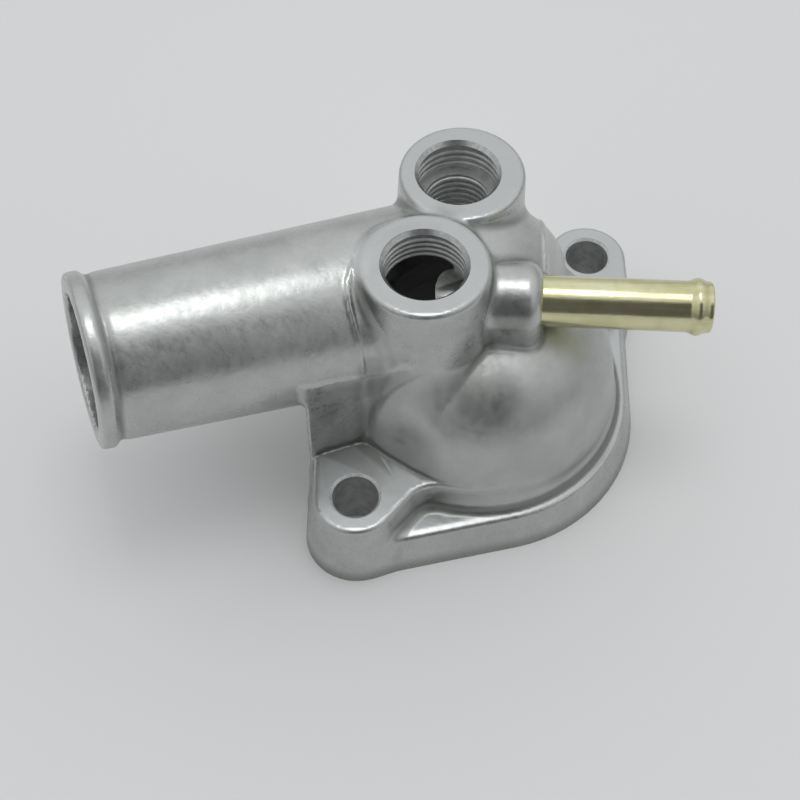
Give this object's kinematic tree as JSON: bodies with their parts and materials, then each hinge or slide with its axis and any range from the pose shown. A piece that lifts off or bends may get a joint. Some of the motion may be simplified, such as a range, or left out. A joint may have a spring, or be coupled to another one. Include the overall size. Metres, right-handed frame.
{
  "type": "thermostat housing",
  "caption": "Cast aluminium coolant outlet housing with a domed chamber, a slanted hose pipe, two threaded sensor ports, two bolt ears and a pressed-in plated hose nipple.",
  "frame": {"origin": "on the gasket face, midway between the two bolt holes and on the dome's axis", "axes": "+Z from the gasket face up through the dome, +X along the hose nipple, -X towards the mouth of the hose pipe, -Y towards the front bolt ear"},
  "size_m": [0.1209, 0.0788, 0.0585],
  "materials": {
    "cast_aluminium": "as die cast, fine satin grain with soft mottling, brighter on the machined port faces and edges",
    "yellow_plated_steel": "zinc plated steel with a yellow passivated skin, glossy and drawn along the tube"
  },
  "bodies": {
    "root": {"housing_casting": "cast_aluminium", "hose_nipple": "yellow_plated_steel"}
  },
  "joints": []
}
